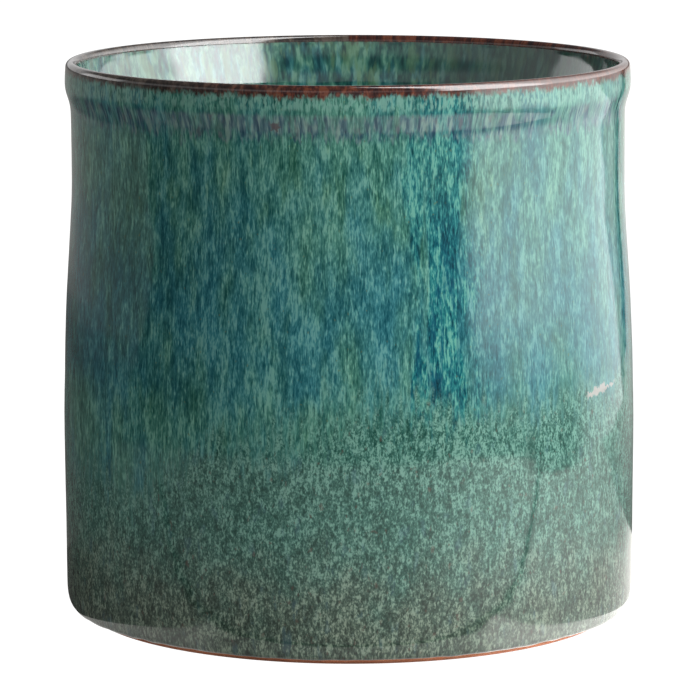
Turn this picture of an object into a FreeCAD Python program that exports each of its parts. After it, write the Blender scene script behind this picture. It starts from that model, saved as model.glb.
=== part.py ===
import FreeCAD, Part
import os

import Sketcher

# A glazed stoneware pot that holds brushes upright. It stands on z = 0 with its axis on Z, and every length
# is in millimetres. The fired clay is one piece, and four coats of glaze lie on it: a base coat outside, a
# second coat dipped over its upper part, a thin coat round the lip, and a liner inside. Each piece is a body
# of revolution: one sketch of its half section on the XZ plane, turned once round Z.

# Driving dimensions: name, value and meaning. Radii and levels are of the finished pot, coats included.
SIZES = [
    ("height", 145.0, "foot to the crest of the lip"),
    ("lip_bend", 1.55, "radius of the round of the lip, half the lip's thickness"),
    ("lip_middle_radius", 71.95, "radius of the ring through the middle of the lip"),
    ("joint_level", 143.2, "level where the lip coat meets the coats of the wall"),
    ("collar_radius", 73.75, "widest radius of the collar"),
    ("collar_level", 138.4, "level of that radius"),
    ("ledge_radius", 73.35, "outside radius at the top of the sloping ledge under the collar"),
    ("ledge_level", 136.65, "level of that radius"),
    ("hollow_radius", 73.0, "outside radius where the ledge runs into the hollow below it"),
    ("hollow_level", 135.9, "level of that radius"),
    ("neck_radius", 72.15, "outside radius of the straight neck"),
    ("neck_high_level", 132.0, "level of the top of the neck"),
    ("neck_low_level", 113.0, "level of the bottom of the neck"),
    ("cone_high_radius", 72.34, "outside radius at the top of the conical shoulder"),
    ("cone_high_level", 107.5, "level of that radius"),
    ("cone_low_radius", 73.88, "outside radius at the bottom of the conical shoulder"),
    ("cone_low_level", 84.0, "level of that radius"),
    ("dip_bend", 900.0, "radius of the slight bend between the dip line and the cone"),
    ("dip_radius", 74.72, "outside radius of the base coat at the dip line"),
    ("dip_level", 62.0, "level of the dip line, where the second coat ends"),
    ("dip_edge", 0.08, "thickness of the second coat at the dip line"),
    ("belly_radius", 75.0, "widest radius of the pot"),
    ("belly_level", 50.0, "level of that radius"),
    ("heel_radius", 74.75, "outside radius where the wall starts to turn under"),
    ("heel_level", 4.6, "level of that radius"),
    ("glaze_line_radius", 73.4, "outside radius of the lower edge of the base coat"),
    ("glaze_line_level", 1.35, "level of that edge"),
    ("foot_bevel_radius", 71.3, "outside radius at the top of the bevel round the foot"),
    ("foot_bevel_level", 0.35, "level of that radius"),
    ("foot_outer_radius", 70.5, "outside radius of the flat ring that stands on the table"),
    ("foot_inner_radius", 64.6, "inside radius of that ring"),
    ("recess_radius", 63.0, "radius of the ceiling of the recess inside the foot ring"),
    ("recess_level", 2.4, "level of that ceiling"),
    ("wall", 4.2, "thickness of the wall"),
    ("flare_middle_level", 137.2, "level of the middle of the flare inside the collar"),
    ("flare_low_level", 131.0, "level where that flare ends"),
    ("floor_level", 8.0, "level of the floor inside"),
    ("floor_bend", 9.0, "radius of the corner between the wall and the floor"),
    ("base_coat", 0.6, "thickness of the base coat"),
    ("over_coat", 0.25, "thickness of the second coat on the shoulder and above"),
    ("lip_coat", 0.3, "thickness of the coat round the lip"),
    ("liner_coat", 0.6, "thickness of the liner"),
]

# The two ways an arc can bend on the way along an outline.
LEFT = 1
RIGHT = -1

doc = FreeCAD.newDocument("BrushPot")


def make_sheet():
    """The spreadsheet that drives every sketch."""
    sheet = doc.addObject("Spreadsheet::Sheet", "Sizes")
    for row, (name, value, meaning) in enumerate(SIZES, start=1):
        sheet.set(f"A{row}", name)
        sheet.set(f"B{row}", str(value))
        sheet.set(f"C{row}", meaning)
        sheet.setAlias(f"B{row}", name)
    doc.recompute()
    return sheet


sheet = make_sheet()


class Length:
    """A length written as an expression, so that what is worked out from sizes stays tied to the sheet."""

    def __init__(self, expression):
        self.expression = str(expression)

    def __str__(self):
        return self.expression

    def __add__(self, other):
        return Length(f"({self} + {other})")

    def __sub__(self, other):
        return Length(f"({self} - {other})")

    def __mul__(self, other):
        return Length(f"({self} * {other})")

    def __truediv__(self, other):
        return Length(f"({self} / {other})")

    def root(self):
        return Length(f"sqrt({self})")

    def absolute(self):
        return Length(f"abs({self})")

    def value(self):
        """The length in millimetres."""
        value = sheet.evalExpression(self.expression)
        return float(getattr(value, "Value", value))


def size(name):
    """One size of the spreadsheet."""
    return Length(f"Sizes.{name}")


NOTHING = Length(0)


class Corner:
    """A corner of an outline, with the edge that leaves it: straight, or an arc of radius bend."""

    def __init__(self, radius, level, bend=None, turn=None):
        self.radius = radius
        self.level = level
        self.bend = bend
        self.turn = turn

    def arc(self, bend, turn):
        """The same corner with an arc leaving it."""
        return Corner(self.radius, self.level, bend, turn)

    def ease(self, other, turn):
        """The same corner with an arc to the other one that is upright at one of the two."""
        run = self.radius - other.radius
        rise = self.level - other.level
        return self.arc((run * run + rise * rise) / (run.absolute() * 2), turn)

    def point(self):
        return FreeCAD.Vector(self.radius.value(), self.level.value(), 0)


def reverse(run):
    """The same run of corners walked the other way, with each arc leaving its other end."""
    back = [Corner(run[-1].radius, run[-1].level)]
    for corner in reversed(run[:-1]):
        if corner.bend is not None:
            back[-1] = back[-1].arc(corner.bend, -corner.turn)
        back.append(Corner(corner.radius, corner.level))
    return back


def make_arc(start, end, bend, turn):
    """The short arc of radius bend from start to end."""
    half = (end - start) / 2
    across = FreeCAD.Vector(-half.y, half.x, 0).normalize()
    centre = start + half + across * turn * (bend**2 - half.Length**2) ** 0.5
    bulge = centre - across * turn * bend
    return Part.Arc(start, bulge, end)


def bind(sketch, constraint, label, length):
    """Adds a dimension to the sketch and ties it to the sheet."""
    index = sketch.addConstraint(constraint)
    sketch.renameConstraint(index, label)
    sketch.setExpression(f"Constraints.{label}", str(length))


def locate(sketch, edge, end, label, corner):
    """Holds one end of an edge at its corner: by its level, and by its radius or on the axis."""
    origin, level_axis, turning_axis = (-1, 1), -1, -2
    if corner.radius.value() == 0:
        sketch.addConstraint(Sketcher.Constraint("PointOnObject", edge, end, turning_axis))
    else:
        across = Sketcher.Constraint("DistanceX", *origin, edge, end, corner.radius.value())
        bind(sketch, across, f"{label}_radius", corner.radius)
    if corner.level.value() == 0:
        sketch.addConstraint(Sketcher.Constraint("PointOnObject", edge, end, level_axis))
    else:
        up = Sketcher.Constraint("DistanceY", *origin, edge, end, corner.level.value())
        bind(sketch, up, f"{label}_level", corner.level)


def draw(sketch, corners):
    """Draws the closed outline through the corners, with a dimension for everything in it."""
    edges = []
    for number, corner in enumerate(corners):
        start = corner.point()
        end = corners[(number + 1) % len(corners)].point()
        if corner.bend is None:
            edge = sketch.addGeometry(Part.LineSegment(start, end))
            edges.append((edge, 1, 2))
        else:
            edge = sketch.addGeometry(make_arc(start, end, corner.bend.value(), corner.turn))
            round_size = Sketcher.Constraint("Radius", edge, corner.bend.value())
            bind(sketch, round_size, f"bend{number}", corner.bend)
            # A sketch keeps an arc's ends in counterclockwise order.
            edges.append((edge, 1, 2) if corner.turn == LEFT else (edge, 2, 1))
        locate(sketch, edge, edges[-1][1], f"corner{number}", corner)
    for (before, _, end), (after, start, _) in zip(edges, edges[1:] + edges[:1]):
        sketch.addConstraint(Sketcher.Constraint("Coincident", before, end, after, start))


def revolve(label, corners):
    """The body called label, made by turning the outline once round the pot's axis."""
    body = doc.addObject("PartDesign::Body", label)
    body.Label = label
    body.Placement = FreeCAD.Placement()
    section = body.newObject("Sketcher::SketchObject", f"{label}_section")
    plane = next(feature for feature in body.Origin.OriginFeatures if feature.Role == "XZ_Plane")
    section.AttachmentSupport = [(plane, "")]
    section.MapMode = "FlatFace"
    draw(section, corners)
    doc.recompute()
    if not section.FullyConstrained:
        raise RuntimeError(f"the section of {label} isn't fully constrained")
    turned = body.newObject("PartDesign::Revolution", f"{label}_turned")
    turned.Profile = section
    turned.ReferenceAxis = (section, ["V_Axis"])
    turned.Angle = 360
    doc.recompute()
    return body


def wall_corner(name, coat):
    """The corner of the outer surface with this name, under this thickness of glaze."""
    return Corner(size(f"{name}_radius") - coat, size(f"{name}_level"))


def lower_outside(coat, dip):
    """The outer surface from the glaze line up to the dip line, under this thickness of glaze."""
    glaze_line = wall_corner("glaze_line", coat)
    heel = wall_corner("heel", coat)
    belly = wall_corner("belly", coat)
    return [glaze_line.ease(heel, LEFT), heel, belly.ease(dip, LEFT)]


def upper_outside(coat, dip, joint):
    """The outer surface from the dip line up to the lip joint, under this thickness of glaze."""
    cone_low = wall_corner("cone_low", coat)
    cone_high = wall_corner("cone_high", coat)
    neck_low = Corner(size("neck_radius") - coat, size("neck_low_level"))
    neck_high = Corner(size("neck_radius") - coat, size("neck_high_level"))
    hollow = wall_corner("hollow", coat)
    ledge = wall_corner("ledge", coat)
    collar = wall_corner("collar", coat)
    return [
        dip.arc(size("dip_bend"), LEFT),
        cone_low,
        cone_high.ease(neck_low, RIGHT),
        neck_low,
        neck_high.ease(hollow, RIGHT),
        hollow,
        ledge.ease(collar, LEFT),
        collar,
        joint,
    ]


def lip_corner(coat, side):
    """The corner at the lip joint on the outer (1) or inner (-1) side, under this thickness of glaze."""
    bend = size("lip_bend") - coat
    drop = size("height") - size("lip_bend") - size("joint_level")
    reach = (bend * bend - drop * drop).root() * side
    return Corner(size("lip_middle_radius") + reach, size("joint_level"))


def over_lip(coat):
    """The surface over the lip, from the outer side of the joint to the inner, under this much glaze."""
    bend = size("lip_bend") - coat
    crest = Corner(size("lip_middle_radius"), size("height") - coat)
    return [lip_corner(coat, 1).arc(bend, LEFT), crest.arc(bend, LEFT), lip_corner(coat, -1)]


def inside(coat, joint):
    """The inner surface from the lip joint down to the axis, under this thickness of glaze."""

    def inner(outside_radius, level):
        return Corner(size(outside_radius) - size("wall") + coat, size(level))

    flare_low = inner("neck_radius", "flare_low_level")
    flare_middle = Corner((joint.radius + flare_low.radius) / 2, size("flare_middle_level"))
    neck_low = inner("neck_radius", "neck_low_level")
    cone_high = inner("cone_high_radius", "cone_high_level")
    cone_low = inner("cone_low_radius", "cone_low_level")
    belly = inner("belly_radius", "belly_level")
    floor = size("floor_level") - coat
    bend = size("floor_bend") + coat
    wall_foot = Corner(size("heel_radius") - size("wall") + coat, floor + bend)
    floor_edge = Corner(wall_foot.radius - bend, floor)
    return [
        joint.ease(flare_middle, RIGHT),
        flare_middle.ease(flare_low, LEFT),
        flare_low,
        neck_low.ease(cone_high, LEFT),
        cone_high,
        cone_low.ease(belly, RIGHT),
        belly,
        wall_foot.arc(bend, RIGHT),
        floor_edge,
        Corner(NOTHING, floor),
    ]


def base_dip():
    """The corner of the base coat's surface at the dip line."""
    return Corner(size("dip_radius"), size("dip_level"))


def base_joint():
    """The corner of the base coat's surface at the lip joint, halfway through the lip coat."""
    return lip_corner(size("lip_coat") / 2, 1)


def clay_outside():
    """The outer surface of the clay, from the glaze line up to the lip joint."""
    dip = Corner(size("dip_radius") - size("base_coat"), size("dip_level"))
    both_coats = size("base_coat") + size("over_coat")
    joint = lip_corner(size("lip_coat"), 1)
    return [*lower_outside(size("base_coat"), dip), *upper_outside(both_coats, dip, joint)]


def clay_inside():
    """The inner surface of the clay, from the lip joint down to the axis."""
    return inside(size("liner_coat"), lip_corner(size("lip_coat"), -1))


def make_clay_body():
    """The fired clay: foot ring, wall, collar, lip and floor in one piece."""
    underside = [
        Corner(NOTHING, size("recess_level")),
        Corner(size("recess_radius"), size("recess_level")),
        Corner(size("foot_inner_radius"), NOTHING),
        Corner(size("foot_outer_radius"), NOTHING),
        Corner(size("foot_bevel_radius"), size("foot_bevel_level")),
    ]
    lip = over_lip(size("lip_coat"))
    return revolve("clay_body", [*underside, *clay_outside()[:-1], *lip[:-1], *clay_inside()])


def make_base_glaze():
    """The first coat outside, from the glaze line above the bare foot up to the lip joint."""
    surface = [
        *lower_outside(NOTHING, base_dip()),
        *upper_outside(size("over_coat"), base_dip(), base_joint()),
    ]
    return revolve("base_glaze", [*surface, *reverse(clay_outside())])


def make_over_glaze():
    """The second coat outside, over the base coat from the dip line up to the lip joint."""
    edge = Corner(size("dip_radius") + size("dip_edge"), size("dip_level"))
    surface = upper_outside(NOTHING, edge, lip_corner(NOTHING, 1))
    under = upper_outside(size("over_coat"), base_dip(), base_joint())
    return revolve("over_glaze", [*surface, *reverse(under)])


def make_lip_glaze():
    """The thin coat over the lip, between the coats outside and the liner."""
    return revolve("lip_glaze", [*over_lip(NOTHING), *reverse(over_lip(size("lip_coat")))])


def make_liner_glaze():
    """The coat inside, from the lip joint down the wall and across the floor."""
    surface = inside(NOTHING, lip_corner(NOTHING, -1))
    return revolve("liner_glaze", [*reverse(surface), *clay_inside()])


def check(pieces):
    """Stops the build if anything in the document failed or a piece isn't one sound solid."""
    for item in doc.Objects:
        if "Invalid" in item.State or "Error" in item.State:
            raise RuntimeError(f"{item.Label} failed: {item.State}")
    for piece in pieces:
        shape = piece.Shape
        if shape.isNull() or not shape.isValid() or len(shape.Solids) != 1:
            raise RuntimeError(f"{piece.Label} isn't one sound solid")


pieces = [make_clay_body(), make_base_glaze(), make_over_glaze(), make_lip_glaze(), make_liner_glaze()]
doc.recompute()
check(pieces)
os.makedirs("parts", exist_ok=True)
for piece in pieces:
    piece.Shape.exportStep(f"parts/{piece.Label}.step")
    print(f"{piece.Label}: {piece.Shape.Volume / 1000:.2f} cm3")
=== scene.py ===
import math

import bmesh
import bpy
import numpy as np
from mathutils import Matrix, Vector


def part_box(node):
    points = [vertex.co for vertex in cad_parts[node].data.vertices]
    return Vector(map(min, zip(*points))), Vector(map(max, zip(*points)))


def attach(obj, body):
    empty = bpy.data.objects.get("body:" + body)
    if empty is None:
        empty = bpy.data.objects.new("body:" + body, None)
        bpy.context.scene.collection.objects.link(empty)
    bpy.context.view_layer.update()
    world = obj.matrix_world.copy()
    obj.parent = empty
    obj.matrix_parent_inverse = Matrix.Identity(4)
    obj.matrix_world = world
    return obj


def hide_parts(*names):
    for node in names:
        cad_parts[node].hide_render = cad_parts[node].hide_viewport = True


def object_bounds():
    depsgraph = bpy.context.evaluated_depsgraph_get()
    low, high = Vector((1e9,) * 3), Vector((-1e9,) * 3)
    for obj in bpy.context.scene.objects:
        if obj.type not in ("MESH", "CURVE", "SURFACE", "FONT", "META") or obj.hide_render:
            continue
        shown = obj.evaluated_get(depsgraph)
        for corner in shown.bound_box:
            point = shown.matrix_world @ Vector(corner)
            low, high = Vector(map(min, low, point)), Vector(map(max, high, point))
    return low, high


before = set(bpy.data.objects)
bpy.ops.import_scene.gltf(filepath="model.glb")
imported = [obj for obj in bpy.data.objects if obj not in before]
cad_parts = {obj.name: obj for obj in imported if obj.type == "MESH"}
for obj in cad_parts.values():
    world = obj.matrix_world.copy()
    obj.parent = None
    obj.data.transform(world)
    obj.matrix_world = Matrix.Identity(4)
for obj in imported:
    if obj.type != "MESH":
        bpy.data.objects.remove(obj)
cad_low, cad_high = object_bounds()

# The pot's visible skin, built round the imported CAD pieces. Each coat of glaze and the clay is its own closed
# mesh, turned from the half section of its CAD node. The glazes also get the relief of fired glaze. An angle
# goes round the pot from the front (-Y) towards the right (+X), and a level goes up from the table. Meshes
# are in metres and radians, and materials in millimetres and degrees.

MM = 0.001
HEIGHT = cad_high.z
WALL_RADIUS = cad_high.x
COLUMNS = 512
ANGLES = np.linspace(0, 2 * math.pi, COLUMNS, endpoint=False)

# The first coat starts at the glaze line and the second at the dip line. Both end at the lip's coat.
DIP_LEVEL, LIP_LEVEL = (corner.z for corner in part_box("over_glaze"))
GLAZE_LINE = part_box("base_glaze")[0].z
COLLAR_FOOT = LIP_LEVEL - 11 * MM

# The smallest ring of a mesh that is closed on the axis.
HUB = 2.5 * MM

# A tear in the dip line, a ridge with a painted glint along it: the angle of its middle in degrees, its lift
# above the line, its climb in a degree.
TEAR_ANGLE = 60.5
TEAR_LIFT = 2.2 * MM
TEAR_CLIMB = 0.13 * MM


# ---------------------------------------------------------------- half sections


def seam(node):
    """The (radius, level) points of a node's half section, in order round it."""
    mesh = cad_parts[node].data
    gap = 1e-6
    places = {}
    for vertex in mesh.vertices:
        if abs(vertex.co.y) < gap and vertex.co.x > -gap:
            places[vertex.index] = (round(vertex.co.x, 6), round(vertex.co.z, 6))
    neighbours = {}
    for edge in mesh.edges:
        ends = [places.get(index) for index in edge.vertices]
        if None not in ends and ends[0] != ends[1]:
            neighbours.setdefault(ends[0], set()).add(ends[1])
            neighbours.setdefault(ends[1], set()).add(ends[0])
    loose = [point for point, others in neighbours.items() if len(others) == 1]
    here = min(loose or neighbours)
    walk = [here]
    while True:
        onward = [point for point in sorted(neighbours[here]) if point not in walk]
        if not onward:
            return np.array(walk)
        here = onward[0]
        walk.append(here)


def sides(node):
    """The two long sides of a coat's half section, each from low to high: its skin and its clay side."""
    points = seam(node)
    onward = np.roll(points, -1, axis=0)
    lengths = np.hypot(*(onward - points).T)
    cuts = np.flatnonzero((np.abs(onward[:, 1] - points[:, 1]) < 1e-6) & (lengths < 1 * MM))
    first, second = cuts[0] + 1, cuts[-1] + 1
    pair = [points[first:second], np.vstack([points[second:], points[:first]])]
    return [side if side[0][1] <= side[-1][1] else side[::-1] for side in pair]


def even(points, step):
    """The same run with points at even steps along it."""
    along = np.concatenate([[0], np.cumsum(np.hypot(*np.diff(points, axis=0).T))])
    steps = np.linspace(0, along[-1], max(2, round(along[-1] / step)))
    return np.stack([np.interp(steps, along, points[:, side]) for side in (0, 1)], axis=1)


def relaxed(points, reach, step=0.2 * MM):
    """The run at even steps, with its facets rounded off over about reach and its two ends kept."""
    fine = even(points, step)
    half = min(math.ceil(3 * reach / step), len(fine) - 2)
    weights = np.exp(-0.5 * (np.arange(-half, half + 1) * step / reach) ** 2)
    weights /= weights.sum()
    result = []
    for line in fine.T:
        before = 2 * line[0] - line[half:0:-1]
        after = 2 * line[-1] - line[-2:-half - 2:-1]
        result.append(np.convolve(np.concatenate([before, line, after]), weights, mode="valid"))
    return np.stack(result, axis=1)


def glide(low, high, value):
    """0 below low and 1 above high, with a smooth climb between them."""
    t = np.clip((value - low) / (high - low), 0, 1)
    return t * t * (3 - 2 * t)


def smooth_wall(points):
    """A wall's run as a smooth (radius, level) curve, its bends longer between the heel and the collar."""
    short_bends = relaxed(points, 1.5 * MM)
    long_bends = relaxed(points, 2.5 * MM)
    level = short_bends[:, 1]
    between = glide(6 * MM, 14 * MM, level) * (1 - glide(COLLAR_FOOT - 10 * MM, COLLAR_FOOT, level))
    return short_bends + (long_bends - short_bends) * between[:, None]


def radius_at(curve, level):
    """Radius of a wall curve at these levels."""
    return np.interp(level, curve[:, 1], curve[:, 0])


# ---------------------------------------------------------------- relief


def waviness(angle, level, size, tall, seed, waves=40):
    """A relief of about -1 to 1 that joins up round the pot, in bumps size wide and tall times taller."""
    draw = np.random.default_rng(seed)
    total = np.zeros(np.broadcast(angle, level).shape)
    for _ in range(waves):
        heading = draw.uniform(0, 2 * math.pi)
        pitch = draw.uniform(0.6, 1.5) * math.pi / size
        turns = round(pitch * math.cos(heading) * WALL_RADIUS)
        climb = pitch * math.sin(heading) / tall
        total += np.cos(turns * angle + climb * level + draw.uniform(0, 2 * math.pi))
    return total / math.sqrt(waves)


def outside_relief(angle, level):
    """How far the melted glaze outside stands proud of an even skin."""
    soft = 0.03 * MM * waviness(angle, level, 9 * MM, 1.8, seed=11)
    runs = 0.005 * MM * waviness(angle, level, 2.4 * MM, 5.0, seed=12)
    rings = 0.006 * MM * np.cos(2 * math.pi * level / (6.5 * MM) + 0.8 * np.sin(angle))
    hold = glide(GLAZE_LINE, GLAZE_LINE + 4 * MM, level) * (1 - glide(-1.2 * MM, 0, level - LIP_LEVEL))
    return (soft + runs + rings) * hold


def dip_edge(angle):
    """Level of the ragged lower edge of the second coat."""
    slow = 1.6 * MM * waviness(angle, 0, 26 * MM, 1, seed=21, waves=12)
    drips = 0.7 * MM * waviness(angle, 0, 3.5 * MM, 1, seed=22, waves=24)
    return DIP_LEVEL + slow + drips


def foot_edge(angle):
    """Level of the lower edge of the base coat, where a sponge has wiped the foot bare."""
    slow = 0.22 * MM * waviness(angle, 0, 40 * MM, 1, seed=31, waves=10)
    nicks = 0.08 * MM * waviness(angle, 0, 4 * MM, 1, seed=32, waves=24)
    return GLAZE_LINE + 0.3 * MM + slow + nicks


def rounded_edge(distance, reach):
    """0 at a coat's edge, 1 from reach inwards, rounded like the edge of a drop."""
    t = np.clip(distance / reach, 0, 1)
    return np.sqrt(1 - (1 - t) ** 2)


def settled(points):
    """Points of the pot moved as they sagged in the kiln: a slight lean, and a rim that isn't quite level."""
    share = points[..., 2] / HEIGHT
    angle = np.arctan2(points[..., 0], -points[..., 1])
    moved = points.copy()
    moved[..., 0] += 0.45 * MM * (0.35 - share)
    moved[..., 2] += 0.16 * MM * share ** 4 * np.sin(angle + 0.4)
    return moved


# ---------------------------------------------------------------- meshes


def ring_points(radius, level):
    """Points all round the pot, from a radius and a level for each row, or for each row and column."""
    radius, level = np.broadcast_arrays(radius, level)
    if radius.ndim == 1:
        radius, level = radius[:, None] + 0 * ANGLES, level[:, None] + 0 * ANGLES
    return np.stack([radius * np.sin(ANGLES), -radius * np.cos(ANGLES), level], axis=-1)


def spin(name, parts, poles=()):
    """A closed mesh from bands of rings that follow one another, with a sharp edge between two bands.

    Without poles the last ring joins the first. With two poles, each end closes on a point of the axis.
    """
    rows = settled(np.concatenate(parts))
    count = len(rows)
    mesh = bpy.data.meshes.new(name)
    corners = rows.reshape(-1, 3)
    right = np.roll(np.arange(COLUMNS), -1)
    base = np.arange(count if not poles else count - 1)[:, None] * COLUMNS
    above = (base + COLUMNS) % (count * COLUMNS)
    column = np.arange(COLUMNS)
    faces = np.stack([base + column, base + right, above + right, above + column], axis=-1)
    faces = faces.reshape(-1, 4).tolist()
    if poles:
        tips = settled(np.array([[0, 0, level] for level in poles]))
        corners = np.vstack([corners, tips])
        first, last = count * COLUMNS, count * COLUMNS + 1
        top = (count - 1) * COLUMNS
        faces += [(first, int(b), int(a)) for a, b in zip(column, right)]
        faces += [(last, top + int(a), top + int(b)) for a, b in zip(column, right)]
    mesh.from_pydata(corners.tolist(), [], faces)
    piece = bpy.data.objects.new(name, mesh)
    bpy.context.scene.collection.objects.link(piece)
    shape = bmesh.new()
    shape.from_mesh(mesh)
    bmesh.ops.recalc_face_normals(shape, faces=shape.faces)
    shape.verts.ensure_lookup_table()
    borders = np.cumsum([len(part) for part in parts])
    for border in borders:
        for row in ((border - 1) % count, border % count):
            if poles and border == count:
                continue
            ring = {int(row) * COLUMNS + int(c) for c in column}
            for index in ring:
                for edge in shape.verts[index].link_edges:
                    if edge.verts[0].index in ring and edge.verts[1].index in ring:
                        edge.smooth = False
    for face in shape.faces:
        face.smooth = True
    shape.to_mesh(mesh)
    shape.free()
    return piece


def levels(*stops):
    """Levels in steps: each stop is a level and the step from it to the next one."""
    rows = []
    for (low, step), (high, _) in zip(stops, stops[1:]):
        rows.append(np.linspace(low, high, max(1, round((high - low) / step)), endpoint=False))
    return np.concatenate([*rows, [stops[-1][0]]])


def make_base_coat():
    """The first coat: a roll of glaze above the bare foot, then the wall up to the lip."""
    clay_side, skin = sorted((smooth_wall(side) for side in sides("base_glaze")), key=lambda side: side[0][0])
    even_rows = levels((0, 0.35 * MM), (8 * MM, 0.9 * MM), (DIP_LEVEL + 8 * MM, 4 * MM), (LIP_LEVEL, 0))
    share = (even_rows / LIP_LEVEL)[:, None]
    edge = foot_edge(ANGLES)
    level = edge + (LIP_LEVEL - edge) * share
    above = level - edge
    clay = radius_at(clay_side, level)
    thickness = (radius_at(skin, level) - clay) * rounded_edge(above, 0.7 * MM)
    roll = 0.04 * MM * np.exp(-((above - 1.5 * MM) / (1.1 * MM)) ** 2)
    covered = glide(8 * MM, 14 * MM, level - DIP_LEVEL)
    outer = clay + thickness + roll + outside_relief(ANGLES, level) * (1 - covered)
    back = levels((0, 6 * MM), (LIP_LEVEL, 0))[::-1, None] / LIP_LEVEL
    back_level = edge + (LIP_LEVEL - edge) * back
    return spin(
        "base_coat",
        [ring_points(outer, level), ring_points(radius_at(clay_side, back_level), back_level)],
    )


def torn_ridge(angle, level):
    """A torn ridge at the right of the dip line, where a run of glaze caught and curled."""
    turn = np.degrees(np.angle(np.exp(1j * (angle - math.radians(TEAR_ANGLE)))))
    line = DIP_LEVEL + TEAR_LIFT + TEAR_CLIMB * turn
    height = 0.12 * MM * np.exp(-((turn / 5.5) ** 2)) * (0.75 + 0.25 * np.sin(2.6 * turn + 1))
    return height * np.exp(-(((level - line) / (0.7 * MM)) ** 2))


def make_over_coat():
    """The second coat: a thin ragged edge at the dip line, then the wall and collar up to the lip."""
    under, skin = sorted((smooth_wall(side) for side in sides("over_glaze")), key=lambda side: side[0][0])
    height = LIP_LEVEL - DIP_LEVEL
    even_rows = levels((0, 0.3 * MM), (9 * MM, 0.9 * MM), (COLLAR_FOOT - DIP_LEVEL, 0.35 * MM), (height, 0))
    share = (even_rows / height)[:, None]
    edge = dip_edge(ANGLES)
    level = edge + (LIP_LEVEL - edge) * share
    above = level - edge
    base = radius_at(under, level)
    thickness = (radius_at(skin, level) - base) * glide(-1 * MM, 9 * MM, above)
    thickness += 0.012 * MM * np.exp(-(((above - 1.0 * MM) / (0.8 * MM)) ** 2)) + torn_ridge(ANGLES, level)
    outer = base + thickness + outside_relief(ANGLES, level)
    back = levels((0, 6 * MM), (COLLAR_FOOT - DIP_LEVEL, 1.5 * MM), (height, 0))[::-1, None] / height
    back_level = edge + (LIP_LEVEL - edge) * back
    inner = radius_at(under, back_level) + outside_relief(ANGLES, back_level)
    return spin("over_coat", [ring_points(outer, level), ring_points(inner, back_level)])


def make_lip_coat():
    """The thin coat over the lip: its skin from the outside in, then its clay side back out."""
    under, skin = sorted(sides("lip_glaze"), key=lambda side: side[:, 1].max())
    if skin[0][0] < skin[-1][0]:
        skin = skin[::-1]
    if under[0][0] > under[-1][0]:
        under = under[::-1]
    outer = even(relaxed(skin, 0.4 * MM, 0.05 * MM), 0.15 * MM)
    inner = even(under, 0.4 * MM)
    return spin("lip_coat", [ring_points(*outer.T), ring_points(*inner.T)])


def make_liner_coat():
    """The coat inside: floor, wall and flare up to the lip, then its clay side back down."""
    points = seam("liner_glaze")
    if points[0][1] < points[-1][1]:
        points = points[::-1]
    inner_of_equals = 1e-3 * points[:, 0]
    top = int(np.argmax(points[:, 1] - inner_of_equals))
    skin, under = points[: top + 1], points[top + 1 :]
    floor_skin, floor_under = points[0][1], points[-1][1]
    skin = relaxed(np.vstack([[HUB, floor_skin], skin]), 2.2 * MM)
    wall_start = int(np.argmax(skin[:, 1] > floor_skin + 12 * MM))
    flare_start = int(np.argmax(skin[:, 1] > COLLAR_FOOT))
    floor = even(skin[: wall_start + 1], 1.6 * MM)
    wall = even(skin[wall_start : flare_start + 1], 1.6 * MM)
    flare = even(skin[flare_start:], 0.35 * MM)
    run = np.vstack([floor[:-1], wall[:-1], flare])
    slope = np.gradient(run, axis=0)
    normal = np.stack([-slope[:, 1], slope[:, 0]], axis=1)
    normal /= np.hypot(*normal.T)[:, None]
    along = np.cumsum(np.hypot(*slope.T))[:, None]
    relief = 0.03 * MM * waviness(ANGLES, along, 9 * MM, 2.0, seed=41)
    relief += 0.006 * MM * waviness(ANGLES, along, 3 * MM, 4.0, seed=42)
    relief *= (glide(0, 25 * MM, run[:, 0]) * (1 - glide(-1.2 * MM, 0, run[:, 1] - LIP_LEVEL)))[:, None]
    radius = run[:, :1] + normal[:, :1] * relief
    level = run[:, 1:] + normal[:, 1:] * relief
    back = even(np.vstack([under, [HUB, floor_under]]), 5 * MM)
    return spin(
        "liner_coat",
        [ring_points(radius, level), ring_points(*back.T)],
        poles=(floor_skin, floor_under),
    )


def make_clay():
    """The fired clay: the bare foot and recess in detail, and what the glaze hides in long steps."""
    points = seam("clay_body")
    if points[0][1] > points[-1][1]:
        points = points[::-1]
    ceiling, floor = points[0][1], points[-1][1]
    foot_end = int(np.argmax(points[:, 1] > GLAZE_LINE + 1 * MM))
    foot = relaxed(np.vstack([[HUB, ceiling], points[: foot_end + 1]]), 0.12 * MM, 0.05 * MM)
    recess_radius = 62 * MM
    recess_end = int(np.argmax(foot[:, 0] > recess_radius))
    recess = even(foot[: recess_end + 1], 2 * MM)
    ring = even(foot[recess_end:], 0.3 * MM)
    hidden = even(np.vstack([points[foot_end:], [HUB, floor]]), 4 * MM)
    run = np.vstack([recess[:-1], ring[:-1], hidden])
    shortest_step = 1e-6
    run = run[np.insert(np.hypot(*np.diff(run, axis=0).T) > shortest_step, 0, True)]
    return spin("clay", [ring_points(*run.T)], poles=(ceiling, floor))


# ---------------------------------------------------------------- materials

# The levels of the wall in millimetres.
FOOT, DIP, COLLAR, LIP = (level / MM for level in (GLAZE_LINE, DIP_LEVEL, COLLAR_FOOT, LIP_LEVEL))


def colour(code):
    """A linear colour from a hex code of the colour as it looks."""
    parts = [int(code[start : start + 2], 16) / 255 for start in (1, 3, 5)]
    return (*[c / 12.92 if c <= 0.04045 else ((c + 0.055) / 1.055) ** 2.4 for c in parts], 1.0)


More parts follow.
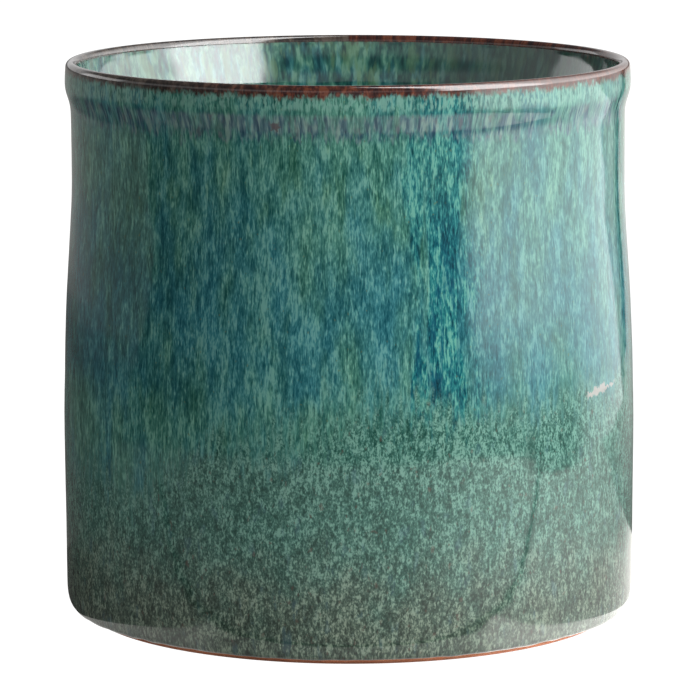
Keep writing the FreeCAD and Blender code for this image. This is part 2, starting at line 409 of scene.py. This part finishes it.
class Wire:
    """A value in a material's nodes. Sums and products of wires add the nodes that work them out."""

    def __init__(self, graph, socket):
        self.graph = graph
        self.socket = socket

    def __add__(self, other):
        return self.graph.math("ADD", self, other)

    def __sub__(self, other):
        return self.graph.math("SUBTRACT", self, other)

    def __rsub__(self, other):
        return self.graph.math("SUBTRACT", other, self)

    def __mul__(self, other):
        return self.graph.math("MULTIPLY", self, other)

    def __truediv__(self, other):
        return self.graph.math("DIVIDE", self, other)

    __radd__ = __add__
    __rmul__ = __mul__


class Graph:
    """The nodes of a material or of the world, under construction. Its lengths are millimetres."""

    def __init__(self, owner, place="Object"):
        self.owner = owner
        owner.use_nodes = True
        self.tree = owner.node_tree
        self.tree.nodes.clear()
        place = self.add("ShaderNodeTexCoord").outputs[place]
        scaled = self.add("ShaderNodeVectorMath", {0: place, 1: (1 / MM,) * 3}, operation="MULTIPLY")
        parts = self.add("ShaderNodeSeparateXYZ", {0: scaled.outputs[0]}).outputs
        self.x, self.y, self.level = (Wire(self, part) for part in parts)
        self.radius = self.math("POWER", self.x * self.x + self.y * self.y, 0.5)
        wall = WALL_RADIUS / MM
        self.across = self.x / self.radius * wall
        self.along = self.y / self.radius * wall

    def add(self, kind, inputs=None, **settings):
        """Adds a node with these settings and inputs."""
        node = self.tree.nodes.new(kind)
        for key, value in settings.items():
            setattr(node, key, value)
        for key, value in (inputs or {}).items():
            self.feed(node.inputs[key], value)
        return node

    def feed(self, socket, value):
        """Gives an input a wire, an output or a plain value."""
        source = value.socket if isinstance(value, Wire) else value
        if isinstance(source, bpy.types.NodeSocket):
            self.tree.links.new(source, socket)
        else:
            socket.default_value = source

    def math(self, operation, *values):
        """One of Blender's sums, by its name there."""
        node = self.add("ShaderNodeMath", dict(enumerate(values)), operation=operation)
        return Wire(self, node.outputs[0])

    def angle(self):
        """The angle round the pot in degrees, from the front towards the right."""
        return self.math("ARCTAN2", self.x, self.y * -1) * math.degrees(1)

    def texture(self, place, detail, distortion=0.0):
        """Noise of 0 to 1 at a place of three values."""
        vector = self.add("ShaderNodeCombineXYZ", dict(enumerate(place))).outputs[0]
        inputs = {"Vector": vector, "Scale": 1.0, "Detail": detail, "Distortion": distortion}
        return Wire(self, self.add("ShaderNodeTexNoise", inputs).outputs["Fac"])

    def noise(self, width, length, seed, detail=2.0, distortion=0.0):
        """Noise in strokes about width by length, which run down the walls and across the lip."""
        run = (self.level - self.radius) / length + seed
        return self.texture((self.across / width + seed * 7.31, self.along / width, run), detail, distortion)

    def grain(self, size, seed, detail=2.0):
        """Noise in grains about size across."""
        return self.texture((self.x / size + seed * 7.31, self.y / size, self.level / size), detail)

    def tone(self, *layers):
        """Layers of (noise, weight) as one tone with a middle of 0 and a spread of 1."""
        plain_spread = 0.085
        scale = 1 / (plain_spread * math.hypot(*(weight for _, weight in layers)))
        return sum((layer - 0.5) * (weight * scale) for layer, weight in layers)

    def rise(self, value, low, high):
        """0 where value is below low and 1 above high, with a smooth climb between them."""
        inputs = {"Value": value, "From Min": low, "From Max": high}
        climb = self.add("ShaderNodeMapRange", inputs, interpolation_type="SMOOTHSTEP")
        return Wire(self, climb.outputs["Result"])

    def mix(self, share, first, second):
        """The first colour where share is 0, the second where it is 1."""
        node = self.add("ShaderNodeMix", data_type="RGBA", clamp_factor=True)
        for index, value in ((0, share), (6, first), (7, second)):
            self.feed(node.inputs[index], value)
        return Wire(self, node.outputs[2])

    def finish(self, base, roughness, height, depth):
        """The finished surface: base colour, roughness, and height as a bump of this depth in millimetres."""
        bump = self.add("ShaderNodeBump", {"Strength": 1.0, "Distance": depth * MM, "Height": height})
        inputs = {"Base Color": base, "Roughness": roughness, "Normal": bump.outputs[0], "IOR": 1.5}
        surface = self.add("ShaderNodeBsdfPrincipled", inputs)
        self.add("ShaderNodeOutputMaterial", {"Surface": surface.outputs[0]})
        return self.owner


def ramp(g, tone, *codes):
    """A colour for each tone. The codes are those of the darkest, low, middle, high and palest tones."""
    spread = 2.6
    marks = (-2.05, -0.67, 0.0, 0.67, 1.5)
    node = g.add("ShaderNodeValToRGB", {0: (tone + spread) / (2 * spread)})
    stops = node.color_ramp.elements
    stops.remove(stops[1])
    for mark, code in zip(marks, codes):
        place = (mark + spread) / (2 * spread)
        stop = stops[0] if mark == marks[0] else stops.new(place)
        stop.position = place
        stop.color = colour(code)
    return Wire(g, node.outputs[0])


def streaked(g):
    """Colour of the second coat: fine upright strokes of teal and aqua in soft patches of blue and green, and a
    painted pale haze at the right where the bright window is mirrored.
    """
    angle = g.angle()
    low = g.rise(g.level, COLLAR - 4.2, DIP + 26) * g.rise(g.level, DIP - 4, DIP + 10)
    tone = g.tone(
        (g.noise(0.36, 1.4, 1, 2), 0.48),
        (g.noise(0.48, 3.2, 2, 2, 0.6), 0.58),
        (g.noise(1.3, 5.0, 3, 3, 0.6), 0.50),
        (g.noise(2.8, 10, 4), 0.32),
        (g.noise(7, 26, 60), 0.22),
    )
    tone = tone * 0.82 + 0.12 - low * g.rise(angle, -22, -60)
    hue = g.tone((g.noise(9, 26, 5), 0.7), (g.noise(3.2, 14, 6, 2), 0.35))
    green = ramp(g, tone, "#1e5f54", "#3f8073", "#539585", "#67aa97", "#8bc9b4")
    teal = ramp(g, tone, "#135b68", "#2c7883", "#3c8a93", "#509fa5", "#77bdbb")
    body = g.mix(g.rise(hue * 0.17 + 0.3 + low * 0.34, 0.0, 1.0), green, teal)
    moss = g.rise(g.tone((g.noise(2.4, 11, 7, 2), 0.6), (g.noise(5, 18, 8), 0.5)), 0.8, 2.2)
    pale_green = ramp(g, tone, "#336f50", "#528b69", "#659d77", "#7ab088", "#9cca9e")
    body = g.mix(moss * (0.3 - low * 0.16), body, pale_green)
    band_left, band_right = 12.5, 26
    place = angle + g.noise(4, 30, 9) * 22 - 11
    band = g.rise(place, band_left, band_left + 2.5) * g.rise(place, band_right, band_right - 3)
    vivid = ramp(g, tone, "#003542", "#0a6070", "#1d8086", "#3c9e9c", "#78c7b6")
    body = g.mix(band * (0.62 + low * 0.38), body, vivid)
    deep = g.rise(g.noise(1.3, 14, 67, 2), 0.52, 0.62) * band * g.rise(g.level, DIP + 50, DIP + 28)
    body = g.mix(deep * 0.45, body, colour("#0e6380"))
    # painted reflection: a pale haze on the right, where the glaze mirrors the bright window
    painted_window_haze = g.rise(angle, 20, 34) * g.rise(angle, 84, 68)
    body = g.mix(painted_window_haze * 0.18, body, colour("#6b9a9e"))
    specks = g.rise(g.noise(0.9, 1.3, 15, 3), 0.69, 0.73)
    return g.mix(specks * 0.4, body, colour("#7d8440"))


def speckled(g):
    """Colour of the first coat: a fine pale speckle on dark green, greyer towards the foot, and one drip."""
    tone = g.tone(
        (g.noise(0.42, 0.66, 11, 2, 0.5), 0.66),
        (g.noise(0.62, 1.4, 12, 3, 0.6), 0.60),
        (g.noise(1.3, 2.8, 13, 3, 0.5), 0.46),
        (g.noise(3.0, 6, 19), 0.24),
        (g.noise(14, 18, 14), 0.08),
    )
    tone = tone + 0.3 * g.rise(g.level, DIP - 22, DIP - 6)
    low = g.rise(g.level, DIP - 18, 4)
    body = ramp(g, tone, "#1d5248", "#396f62", "#4a8275", "#61998a", "#8ac0af")
    grey = ramp(g, tone, "#303e35", "#495d4f", "#5d7163", "#758976", "#a3b49f")
    patch = g.tone((g.noise(6, 9, 17), 1.0))
    body = g.mix(g.rise(patch * 0.06 - 0.02 + low * 0.88, 0.0, 1.0), body, grey)
    blue = g.rise(g.noise(2.2, 6, 61, 2), 0.6, 0.72)
    body = g.mix(blue * 0.3, body, colour("#55808f"))
    drip_angle = 37.5
    from_drip = g.math("ABSOLUTE", g.angle() - drip_angle + g.noise(2, 9, 71) * 7 - 3.5)
    drip = g.rise(g.level, DIP - 44, DIP - 28) * g.rise(g.level, DIP - 2, DIP - 8)
    drip = drip * g.rise(from_drip, 1.5, 0.2)
    body = g.mix(drip * 0.5, body, colour("#23544a"))
    rust = g.rise(g.noise(1.3, 2.2, 18, 3), 0.65, 0.71)
    return g.mix(rust * 0.45, body, colour("#6d4a42"))


def under_collar_with_shade(g):
    """How much the band under the collar shows, and its colour: dashes of grey-blue and a little mauve. It is
    glaze gathered under the collar, and partly painted shade, darker and greyer where the collar's underside
    faces down.
    """
    ragged = g.noise(1.0, 5, 62, 2) * 10 - 5
    glaze_and_shade_band = g.rise(g.level + ragged, COLLAR - 1.7, COLLAR + 0.3)
    glaze_and_shade_band = glaze_and_shade_band * g.rise(g.level + ragged * 0.3, COLLAR + 6.2, COLLAR + 4.4)
    dash = g.tone((g.noise(0.8, 3.4, 23, 2, 0.3), 1.0))
    slate_and_shade = ramp(g, dash, "#23445a", "#41637a", "#5a7d8a", "#739397", "#8fb0a8")
    mauve = g.rise(g.noise(2.2, 3, 68), 0.56, 0.66)
    share = glaze_and_shade_band * (0.25 + 0.6 * g.rise(g.noise(2.4, 5, 63, 3), 0.42, 0.58))
    return share, g.mix(mauve * 0.5, slate_and_shade, colour("#6f6a72"))


def spot(g, angle, level, reach):
    """1 within about reach millimetres of a place on the wall, and 0 outside it, with a ragged edge."""
    across = (g.angle() - angle) * (math.radians(1) * WALL_RADIUS / MM)
    away = g.math("POWER", across * across + (g.level - level) * (g.level - level), 0.5)
    return g.rise(away + (g.noise(0.9, 0.9, 70, 3) - 0.5) * 2 * reach, reach, reach * 0.5)


def painted_glint_on_tear(g):
    """A painted glint along the tear in the dip line, where the torn ridge mirrors the bright panel: 1 on it,
    thin at its ends and thicker in its middle, and 0 off it.
    """
    turn = g.angle() - TEAR_ANGLE
    lift, climb = TEAR_LIFT / MM, TEAR_CLIMB / MM
    off_tear = g.level - DIP - lift - turn * climb + g.noise(1.3, 2.0, 69, 3) * 4.4 - 2.2
    half = 0.35 + 0.7 * g.rise(turn, -6, -3) * g.rise(turn, 2, -1)
    mark = g.rise(off_tear / half, -1.3, -0.8) * g.rise(off_tear / half, 1.3, 0.8)
    return mark * g.rise(turn, -7.5, -5.5) * g.rise(turn, 6.5, 4)


def iron_and_painted_sheen(g):
    """Colour of the glaze that breaks thin over the lip: red-brown, greyer at the left, partly as a painted
    grey sheen, and pinkish at the right as a painted reflection of the bright window.
    """
    tone = g.tone((g.noise(0.6, 1.4, 25, 2, 0.3), 0.5), (g.noise(1.8, 3, 27, 2, 0.3), 0.8))
    red = ramp(g, tone, "#321f20", "#482825", "#5a3129", "#6c3a2e", "#864c37")
    greyer_with_painted_sheen = ramp(g, tone, "#332e2b", "#423b37", "#4f4741", "#5d544c", "#71685f")
    # greyer at the left: the glaze, partly with a painted grey sheen
    body = g.mix(g.rise(g.angle() + g.noise(5, 5, 66) * 40 - 20, -12, -42) * 0.9, red, greyer_with_painted_sheen)
    # painted reflection: a pinkish wash where the lip mirrors the bright window at the right
    painted_rosy_reflection = g.rise(g.angle(), 12, 34) * g.rise(g.angle(), 110, 85)
    return g.mix(painted_rosy_reflection * 0.45, body, colour("#8f7067"))


def outside_colour(g):
    """Colour of the glaze outside, where its coats run into one another, with painted shade, a painted sheen,
    painted reflections and a painted glint.
    """
    ragged = g.noise(1.2, 7, 21, 3) * 36 - 18
    slow = g.noise(22, 60, 22) * 30 - 15
    run_at_left = 17 * g.rise(g.angle(), -8, -48)
    second = g.rise(g.level - DIP + ragged + slow + run_at_left, -7, 8)
    body = g.mix(second, speckled(g), streaked(g))
    share, slate_and_shade = under_collar_with_shade(g)
    # the band under the collar: thick glaze in dashes, partly painted shade
    body = g.mix(share, body, slate_and_shade)
    body = g.mix(spot(g, angle=-14.3, level=COLLAR + 2.7, reach=1.5) * 0.8, body, colour("#5f4a4f"))
    pale = g.rise(g.level + g.noise(0.8, 3, 64, 3) * 3, LIP - 3.6, LIP - 2.0)
    body = g.mix(pale * g.rise(g.noise(0.7, 2.4, 65, 3), 0.46, 0.58) * 0.8, body, colour("#8fc6b6"))
    fringe = g.noise(0.7, 1.6, 24, 3, 0.4) * 3.4 + g.noise(4, 4, 28) * 3 - 3.2
    # the red-brown break over the lip, with its painted sheen and painted reflection
    body = g.mix(g.rise(g.level + fringe, LIP - 1.8, LIP), body, iron_and_painted_sheen(g))
    # painted highlight: a pale glint along the torn ridge
    body = g.mix(painted_glint_on_tear(g) * 0.8, body, colour("#d3c9c2"))
    # painted shade: the lowest millimetre or two of glaze, darker just above the bare foot, where it mirrors
    # the shaded table by the foot
    darkening = g.rise(g.level + g.noise(3, 3, 26) * 1.2, FOOT + 2.05, FOOT + 0.85)
    return g.mix(darkening * 0.5, body, colour("#3a4038"))


def glaze(name):
    """One of the outside glazes. They share their colour, because they ran into one another in the kiln."""
    g = Graph(bpy.data.materials.new(name))
    crystals = g.noise(0.45, 1.2, 31, 3)
    roughness = 0.06 + g.rise(crystals, 0.42, 0.6) * 0.05
    return g.finish(outside_colour(g), roughness, g.noise(3.5, 7, 32) + crystals * 0.3, 0.008)


def liner_glaze():
    """The glaze inside: short soft strokes of teal, blue and yellow-green, mauve-brown at the lip, and painted
    shade on the inner wall at the right.
    """
    g = Graph(bpy.data.materials.new("liner_glaze"))
    tone = g.tone(
        (g.noise(1.1, 3, 41, 2, 0.3), 0.5),
        (g.noise(2.4, 5, 42, 3, 0.3), 0.7),
        (g.noise(6, 10, 43), 0.3),
    )
    body = ramp(g, tone, "#17494a", "#336e65", "#458275", "#5a9684", "#7db39c")
    blue = g.rise(g.tone((g.noise(3.8, 9, 44), 1.0), (g.noise(1.4, 5, 45), 0.3)), 0.1, 1.2)
    body = g.mix(blue * 0.6, body, ramp(g, tone, "#124a58", "#276d7b", "#378089", "#4d959c", "#76b3b3"))
    lime = g.rise(g.tone((g.noise(3.2, 8, 46), 1.0), (g.noise(1.2, 4, 47), 0.3)), 0.5, 1.8)
    body = g.mix(lime * 0.45, body, colour("#78a274"))
    # painted shade: greyer and darker on the inner wall at the right, which the light from the right doesn't
    # reach
    painted_inner_shade = g.rise(g.angle(), 174, 150) * g.rise(g.angle(), 50, 80)
    body = g.mix(painted_inner_shade * 0.62, body, colour("#44625a"))
    fringe = g.noise(1.6, 3.4, 48, 3) * 5 - 2.5
    dash = g.tone((g.noise(0.9, 3, 49, 2), 1.0))
    mauve = ramp(g, dash, "#3a2f2e", "#4b403d", "#5a4d49", "#6b5e57", "#83776c")
    body = g.mix(g.rise(g.level + fringe, LIP - 1.0, LIP + 1.4), body, mauve)
    # glaze gathered on the floor inside: a darker teal
    darkening = g.rise(g.radius, 45, 20) * g.rise(g.level, 30, 20)
    body = g.mix(darkening * 0.8, body, colour("#2c6f72"))
    return g.finish(body, 0.07, g.noise(4, 9, 50), 0.02)


def bare_clay():
    """Fired clay: terracotta with fine grain, darker in its pores."""
    g = Graph(bpy.data.materials.new("bare_clay"))
    grain = g.grain(0.35, 51, 4)
    body = g.mix(g.rise(grain, 0.38, 0.62), colour("#d97f57"), colour("#ffb78e"))
    body = g.mix(g.rise(g.grain(9, 52), 0.4, 0.65) * 0.4, body, colour("#b0623f"))
    body = g.mix(g.rise(g.grain(0.5, 53), 0.66, 0.72) * 0.7, body, colour("#7a4430"))
    return g.finish(body, 0.8, grain, 0.05)


# ---------------------------------------------------------------- assembly


def fit(piece, node, material):
    """Dresses a piece, and puts it in the place of its CAD node on the pot's one body."""
    piece.data.materials.append(material)
    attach(piece, "root")
    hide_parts(node)


fit(make_clay(), "clay_body", bare_clay())
fit(make_base_coat(), "base_glaze", glaze("speckled_glaze"))
fit(make_over_coat(), "over_glaze", glaze("streaked_glaze"))
fit(make_lip_coat(), "lip_glaze", glaze("iron_glaze"))
fit(make_liner_coat(), "liner_glaze", liner_glaze())


# ---------------------------------------------------------------- stage, lights and camera


# How bright the floor and the backdrop look to the camera.
CAMERA_WHITE = 1.15


def show_only_mirrored(thing):
    """Keeps a stage piece out of the picture except where the glaze mirrors it."""
    thing.visible_camera = False
    thing.visible_diffuse = False
    thing.visible_shadow = False
    thing.visible_transmission = False
    thing.visible_volume_scatter = False


def sheet(name, corners, material):
    """A flat stage piece through four corners."""
    mesh = bpy.data.meshes.new(name)
    mesh.from_pydata(corners, [], [(0, 1, 2, 3)])
    mesh.materials.append(material)
    piece = bpy.data.objects.new(name, mesh)
    bpy.context.scene.collection.objects.link(piece)
    return piece


def mirrored_table(g):
    """How bright the table looks in the glaze, which shows it from close by.

    It is a low block under the pot, with a dark gap along its front, and a table round it that ends behind
    the pot. Both are brightest at the right. A place is lit by the way the glaze that mirrors it faces.
    """
    facing = g.angle() * g.radius / (g.radius - 33)
    gap, gap_half, edge_blur = -(WALL_RADIUS / MM + 17), 2.5, 1
    block_left, block_right = -71, 77
    gap_front = g.rise(g.y, gap - gap_half - edge_blur, gap - gap_half)
    gap_back = g.rise(g.y, gap + gap_half + edge_blur, gap + gap_half)
    block = g.rise(g.x, block_left - 1, block_left) * g.rise(g.x, block_right + 1, block_right)
    block = block * g.rise(g.y, gap, gap + 2)
    near = g.rise(g.radius, 170, 108)
    left = 0.06 + 0.36 * g.rise(facing, -150, -50) + 0.48 * g.rise(facing, -45, 20)
    table = left + 2.1 * g.rise(facing, 5, 80)
    table = table * (1.0 - 0.2 * near)
    behind = 0.72 * g.rise(facing, 80, 150) * (1.0 - near) + 0.4 * g.rise(facing, 80, 125) * near
    table = table * (1.0 - behind) * (1.0 - 0.85 * g.rise(g.radius, 300, 420))
    outer_block = 0.6 * g.rise(facing, -44, -58) + 2.0 * g.rise(facing, 44, 58)
    table = table + block * (table * 0.3 + 0.25 + outer_block)
    shaded = 0.6 + 0.4 * g.rise(g.radius, 74, 80)
    table = table * (1.0 - gap_front * gap_back * 0.92) * shaded
    on_table = g.rise(g.y - g.x * 0.12, 82, 76)
    far = 0.1 + 0.2 * g.rise(g.radius, 550, 900) + 0.6 * g.rise(g.x, 60, 260)
    return table * on_table + far * (1.0 - on_table)


def make_floor():
    """A plain floor: white to the camera, pale and matt to the lights, and a lit table in the glaze."""
    g = Graph(bpy.data.materials.new("white_table"))
    matt = g.add("ShaderNodeBsdfDiffuse", {"Color": (0.8, 0.8, 0.8, 1)}).outputs[0]
    white = g.add("ShaderNodeEmission", {"Color": (1, 1, 1, 1), "Strength": CAMERA_WHITE}).outputs[0]
    lit = g.add("ShaderNodeEmission", {"Color": (1, 0.97, 0.93, 1), "Strength": mirrored_table(g)}).outputs[0]
    rays = g.add("ShaderNodeLightPath").outputs
    seen = g.add("ShaderNodeMixShader", {0: 0.97, 1: matt, 2: white}).outputs[0]
    unseen = g.add("ShaderNodeMixShader", {0: rays["Is Glossy Ray"], 1: matt, 2: lit}).outputs[0]
    surface = g.add("ShaderNodeMixShader", {0: rays["Is Camera Ray"], 1: unseen, 2: seen}).outputs[0]
    g.add("ShaderNodeOutputMaterial", {"Surface": surface})
    reach = 6.0
    sheet("table", [(-reach, -reach, 0), (reach, -reach, 0), (reach, reach, 0), (-reach, reach, 0)], g.owner)


def make_panel():
    """What the glaze mirrors at the right: a light panel a little taller than the pot, palest high up."""
    g = Graph(bpy.data.materials.new("side_panel"))
    along = g.rise(g.y, -345, -235) * (1.0 - 0.2 * g.rise(g.y, -110, 50))
    front = g.rise(g.y + g.level * 1.5, 308, 298)
    beyond = 0.3 * g.rise(g.y, 380, 240)
    even_part = 0.6 * g.rise(g.y, -20, 60)
    height = 0.15 + 0.85 * (even_part + (1.0 - even_part) * g.rise(g.level, 14, 88))
    brightness = 3.6 * height * (along * front + beyond * (1.0 - front))
    light = g.add("ShaderNodeEmission", {"Color": (0.98, 1, 1, 1), "Strength": brightness})
    g.add("ShaderNodeOutputMaterial", {"Surface": light.outputs[0]})
    x, front_end, back_end = 0.3, -0.34, 0.43
    bottom, top = 1 * MM, HEIGHT + 10 * MM
    corners = [(x, front_end, bottom), (x, back_end, bottom), (x, back_end, top), (x, front_end, top)]
    show_only_mirrored(sheet("side_panel", corners, g.owner))


def softbox(name, place, width, height, radiance):
    """A light for matt surfaces alone, aimed at the middle of the pot. A radiance of 1 would look white."""
    lamp = bpy.data.lights.new(name, "AREA")
    lamp.shape = "RECTANGLE"
    lamp.size = width
    lamp.size_y = height
    lamp.energy = radiance * math.pi * width * height
    light = bpy.data.objects.new(name, lamp)
    light.location = place
    aim = Vector((0, 0, HEIGHT / 2))
    light.rotation_euler = (aim - light.location).to_track_quat("-Z", "Y").to_euler()
    light.visible_camera = False
    light.visible_glossy = False
    bpy.context.scene.collection.objects.link(light)


def make_world():
    """White to the camera and a soft fill to matt surfaces.

    What the glaze mirrors of it is a room that is dark at the level of the table. Above that a dim strip goes
    round it, brighter in a small window at the back left. At the right a bright window and a wall that fades
    towards the back go all the way up.
    """
    world = bpy.data.worlds.new("studio")
    bpy.context.scene.world = world
    g = Graph(world, "Generated")
    angle = g.angle()
    climb = g.level / g.radius
    window = g.rise(angle, 36, 41) * g.rise(angle, 92, 80)
    wall = g.rise(angle, 30, 49) * g.rise(angle, 165, 84)
    small = g.rise(angle, -103, -107) * g.rise(angle, -140, -136)
    strip = (0.7 + 1.6 * small) * g.rise(climb, 0.5, 0.3)
    room = 0.16 + g.rise(climb, 0.03, 0.075) * (strip + 8.5 * window + 6.4 * wall)
    rays = g.add("ShaderNodeLightPath").outputs
    to_camera = Wire(g, rays["Is Camera Ray"])
    to_glaze = Wire(g, rays["Is Glossy Ray"]) * (1.0 - to_camera)
    to_matt = (1.0 - to_camera) * (1.0 - to_glaze)
    fill = 0.16
    strength = to_camera * CAMERA_WHITE + to_glaze * room + to_matt * fill
    glow = g.add("ShaderNodeBackground", {"Color": (1, 1, 1, 1), "Strength": strength})
    g.add("ShaderNodeOutputWorld", {"Surface": glow.outputs[0]})


def make_camera():
    """A long lens a little above the lip, at the height and tilt of a product photograph."""
    lens = bpy.data.cameras.new("camera")
    lens.sensor_width = 36
    lens.lens = 217.6
    distance, eye_level, aside, degrees_down = 1.1, 0.247, 0.3 * MM, 9.24
    camera = bpy.data.objects.new("camera", lens)
    camera.location = (aside, -distance, eye_level)
    camera.rotation_euler = (math.radians(90 - degrees_down), 0, 0)
    bpy.context.scene.collection.objects.link(camera)
    bpy.context.scene.camera = camera


make_floor()
make_panel()
make_world()
softbox("key", (0.462, -0.323, 0.31), width=0.31, height=0.29, radiance=7.4)
softbox("side", (0.5, 0.18, 0.2), width=0.3, height=0.3, radiance=1.3)
softbox("top", (0, 0.1, 0.8), width=0.8, height=0.8, radiance=0.5)
make_camera()
bpy.context.scene.view_settings.view_transform = "Standard"
